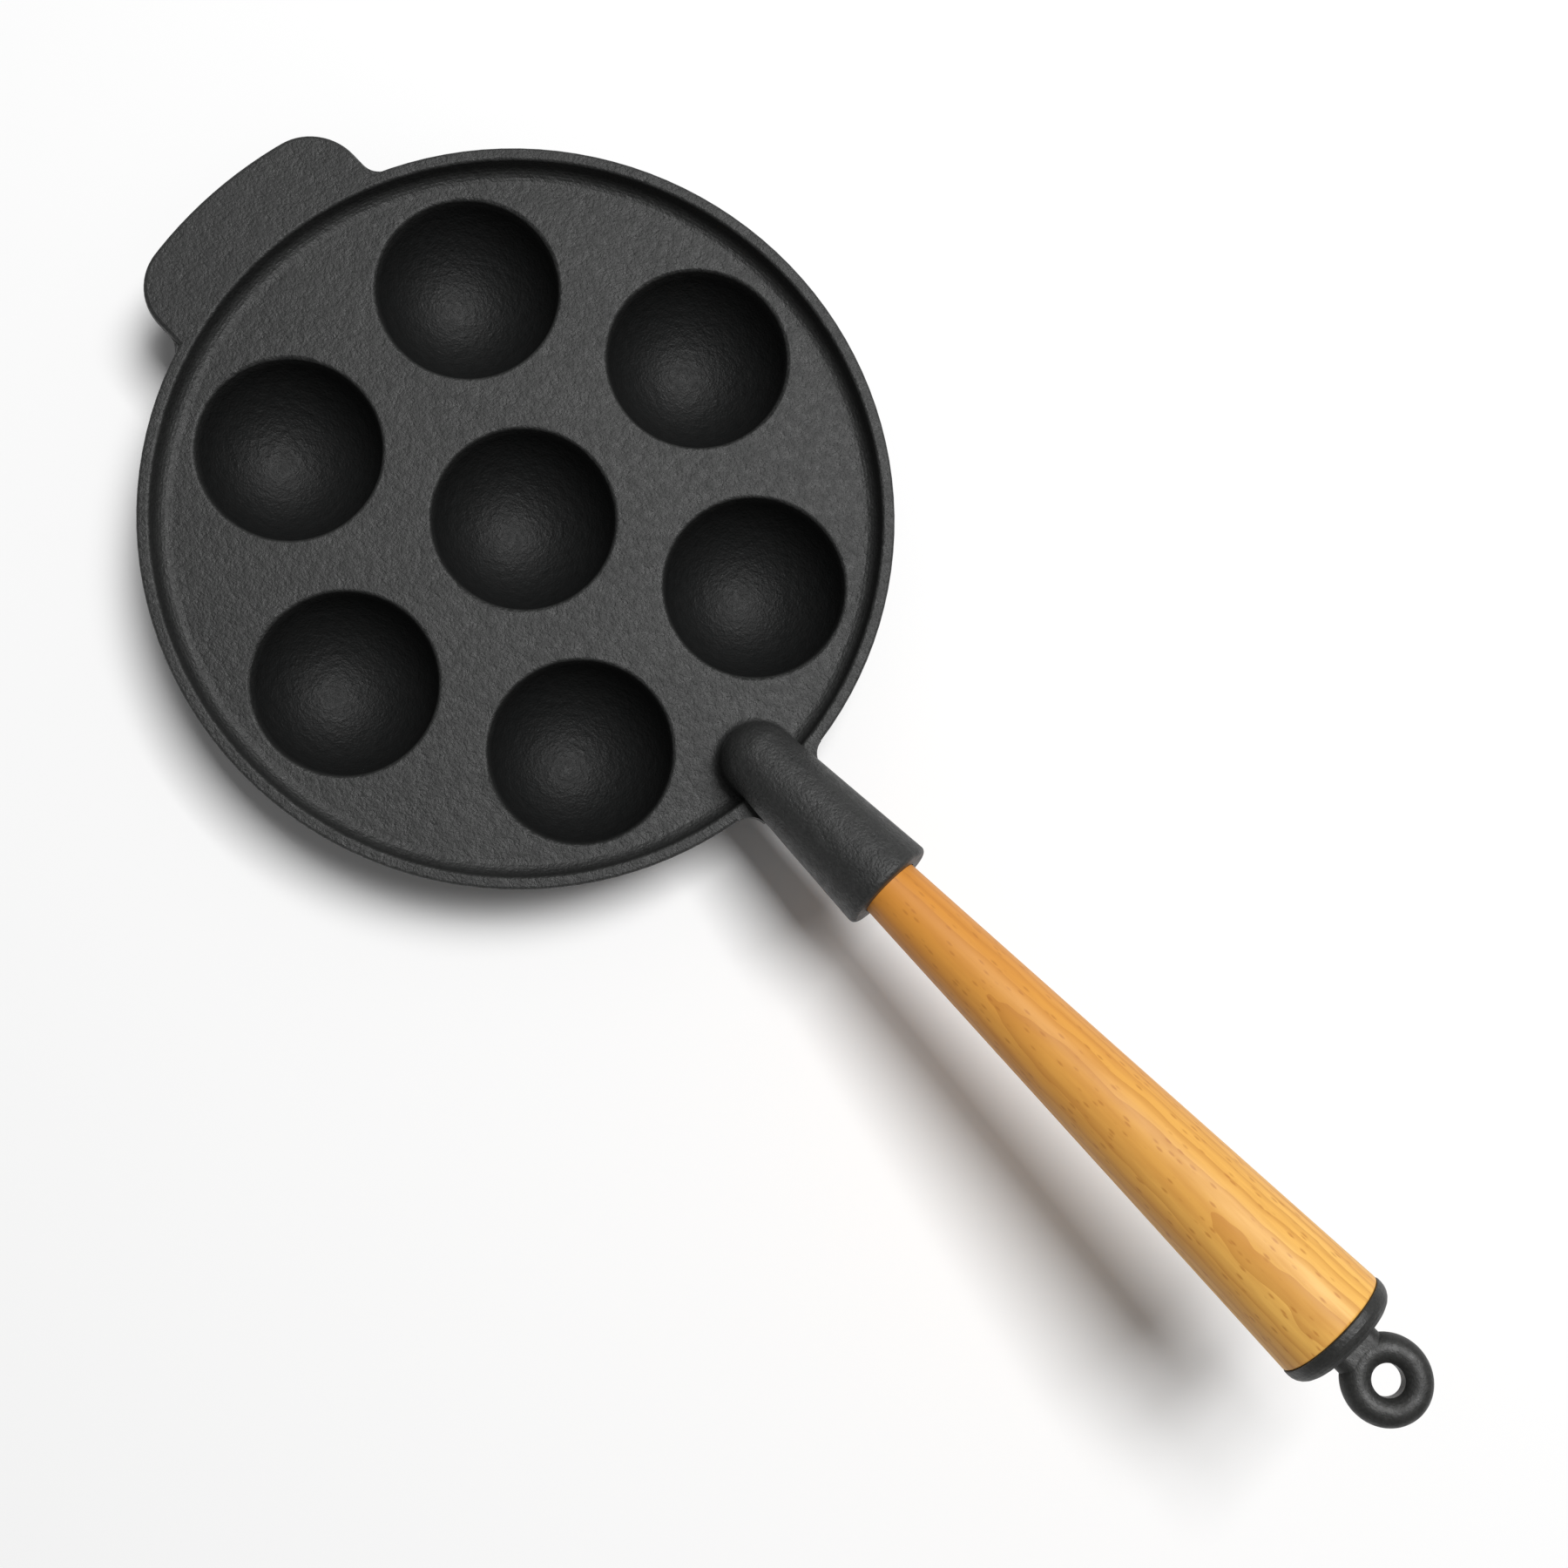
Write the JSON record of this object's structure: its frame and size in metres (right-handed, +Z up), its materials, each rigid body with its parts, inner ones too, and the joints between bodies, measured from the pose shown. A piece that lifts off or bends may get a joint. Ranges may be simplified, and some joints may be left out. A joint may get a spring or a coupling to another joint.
{
  "type": "aebleskiver pan",
  "caption": "Round cast iron pan with deep half-round cups for filled pancake balls, a helper tab, and a tapered wooden handle that ends in a cast hanging eye.",
  "frame": {"origin": "centre of the flat foot under the middle cup, on the surface the pan stands on", "axes": "+X from the pan's centre along the handle, +Z up, +Y to the left when looking along the handle"},
  "size_m": [0.475, 0.2198, 0.1009],
  "materials": {
    "pan_iron": "matte seasoned sand-cast iron with a fine grain",
    "beech": "oiled turned beech, grain along the handle",
    "rod_steel": "plain drawn steel with rolled thread",
    "cap_iron": "matte cast iron, smoother and a little more satin than the pan"
  },
  "bodies": {
    "pan": {"pan_casting": "pan_iron"},
    "grip": {"wooden_grip": "beech"},
    "eye_bolt": {"tie_rod": "rod_steel", "hanging_eye_cap": "cap_iron"}
  },
  "joints": [
    {"name": "grip_draw", "type": "slide", "parent": "pan", "child": "grip", "axis": [0.9781, 0, 0.2079], "range_m": [0, 0.012]},
    {"name": "eye_bolt_turn", "type": "hinge", "parent": "grip", "child": "eye_bolt", "pos_m": [0.1, 0, 0.038], "axis": [0.9781, 0, 0.2079], "range_deg": [0, 4320]}
  ],
  "couplings": [
    {"joint": "eye_bolt_turn", "follows": "grip_draw", "rad_per_m": 6283.2}
  ]
}
